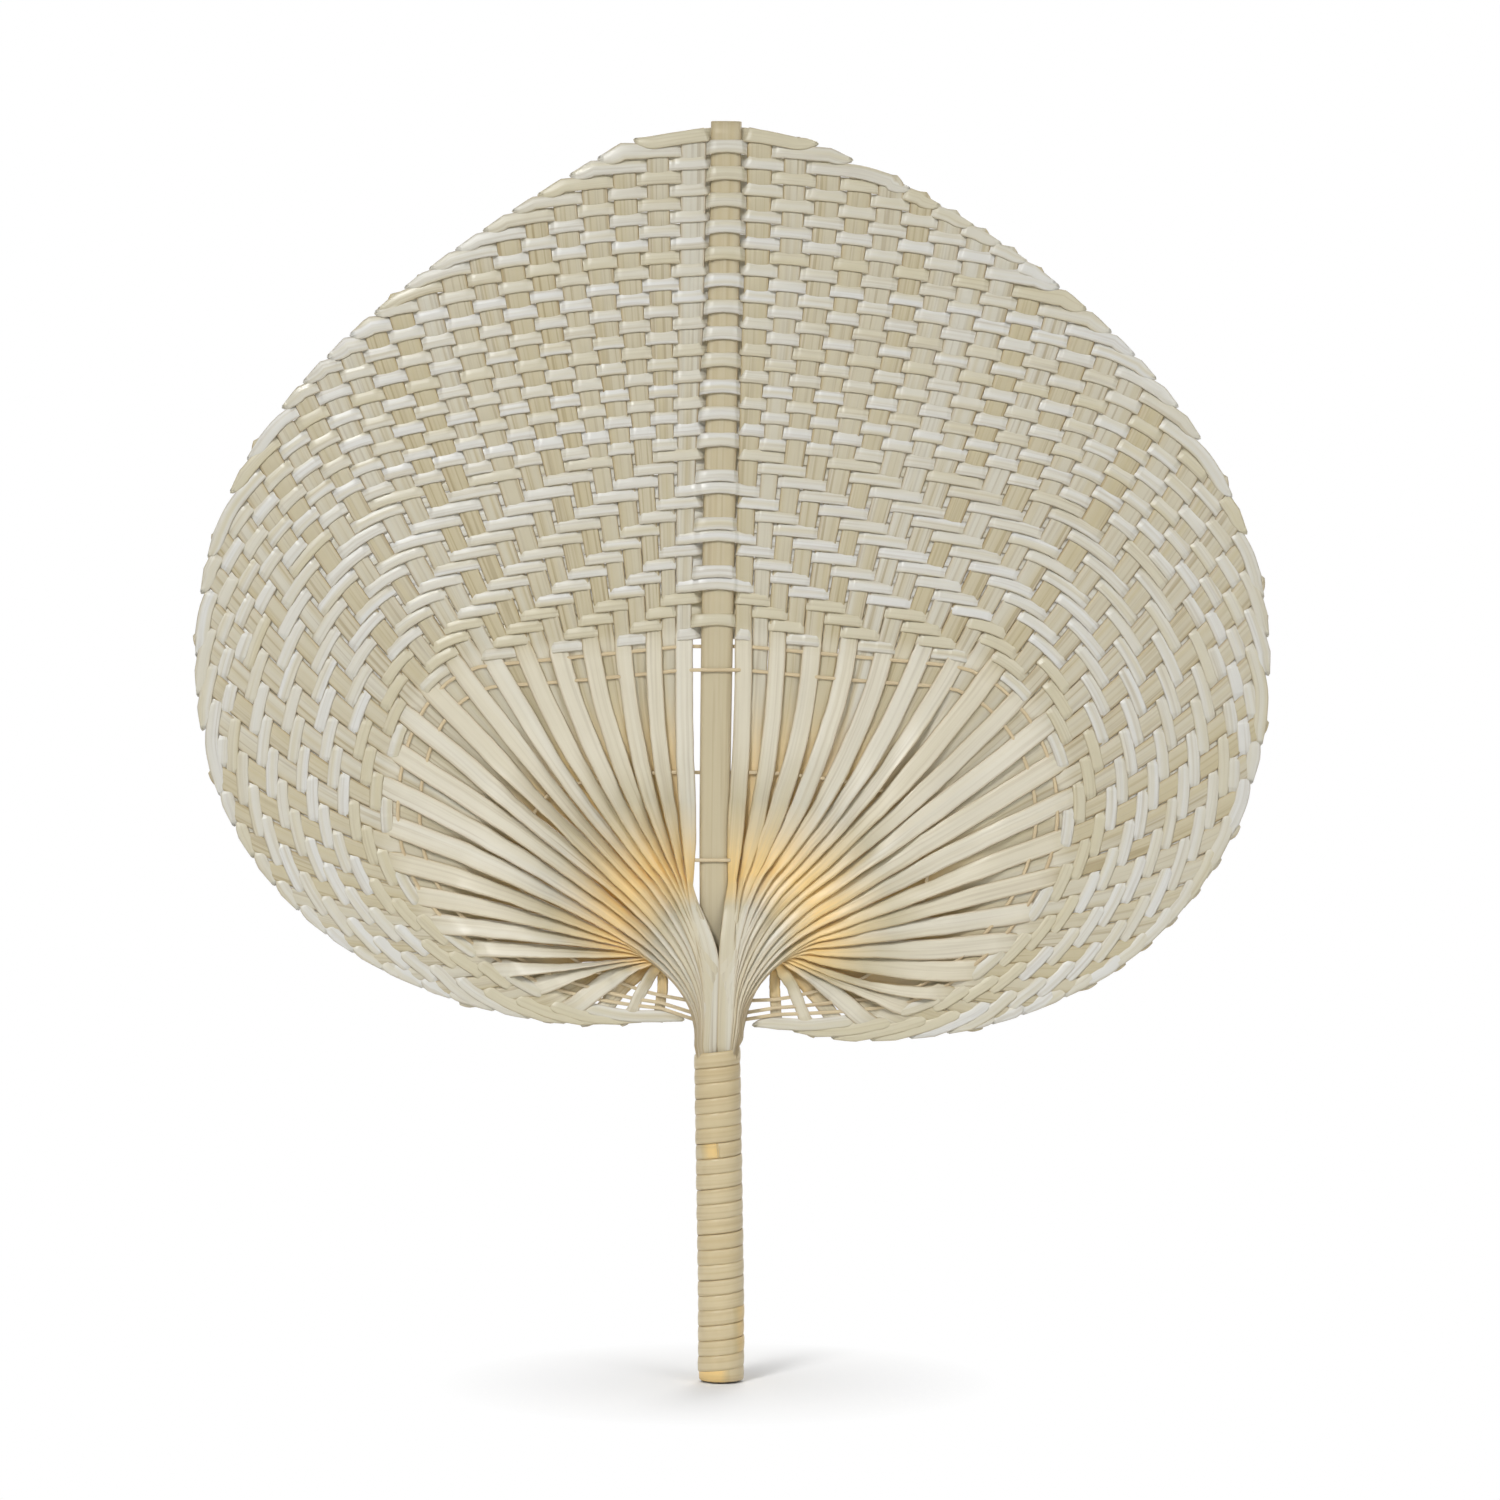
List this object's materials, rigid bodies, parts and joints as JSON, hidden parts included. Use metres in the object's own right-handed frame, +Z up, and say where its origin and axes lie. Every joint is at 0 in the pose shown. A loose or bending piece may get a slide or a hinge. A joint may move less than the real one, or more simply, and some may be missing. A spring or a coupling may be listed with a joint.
{
  "type": "woven bamboo hand fan",
  "caption": "Rigid heart-shaped hand fan woven from split bamboo: flat spine, splints fanning out of a wound handle, and a woven blade with an open throat.",
  "frame": {"origin": "middle of the spine's cut end at the butt of the handle", "axes": "+Z up the spine to the top of the blade, +X to the right of the blade seen from the front, -Y out of the blade's front face"},
  "size_m": [0.3082, 0.0146, 0.36],
  "materials": {
    "spine": "planed bamboo slat, satin",
    "splint": "split bamboo, satin",
    "band": "shaved bamboo strip, pale and silky",
    "tie": "thin split bamboo stick, satin",
    "binding": "bamboo skin strip, golden satin"
  },
  "bodies": {
    "root": {"spine_slat": "spine", "left_splint_01": "splint", "left_splint_02": "splint", "left_splint_03": "splint", "left_splint_04": "splint", "left_splint_05": "splint", "left_splint_06": "splint", "left_splint_07": "splint", "left_splint_08": "splint", "left_splint_09": "splint", "left_splint_10": "splint", "left_splint_11": "splint", "left_splint_12": "splint", "left_splint_13": "splint", "left_splint_14": "splint", "right_splint_01": "splint", "right_splint_02": "splint", "right_splint_03": "splint", "right_splint_04": "splint", "right_splint_05": "splint", "right_splint_06": "splint", "right_splint_07": "splint", "right_splint_08": "splint", "right_splint_09": "splint", "right_splint_10": "splint", "right_splint_11": "splint", "right_splint_12": "splint", "right_splint_13": "splint", "right_splint_14": "splint", "weave_band_01": "band", "weave_band_02": "band", "weave_band_03": "band", "weave_band_04": "band", "weave_band_05": "band", "weave_band_06": "band", "weave_band_07": "band", "weave_band_08": "band", "weave_band_09": "band", "weave_band_10": "band", "weave_band_11": "band", "weave_band_12": "band", "weave_band_13": "band", "weave_band_14": "band", "weave_band_15": "band", "weave_band_16": "band", "weave_band_17": "band", "weave_band_18": "band", "weave_band_19": "band", "ring_tie_splint": "tie", "second_tie_splint": "tie", "middle_tie_splint": "tie", "throat_tie_splint": "tie", "lower_handle_binding": "binding", "upper_handle_binding": "binding"}
  },
  "joints": []
}
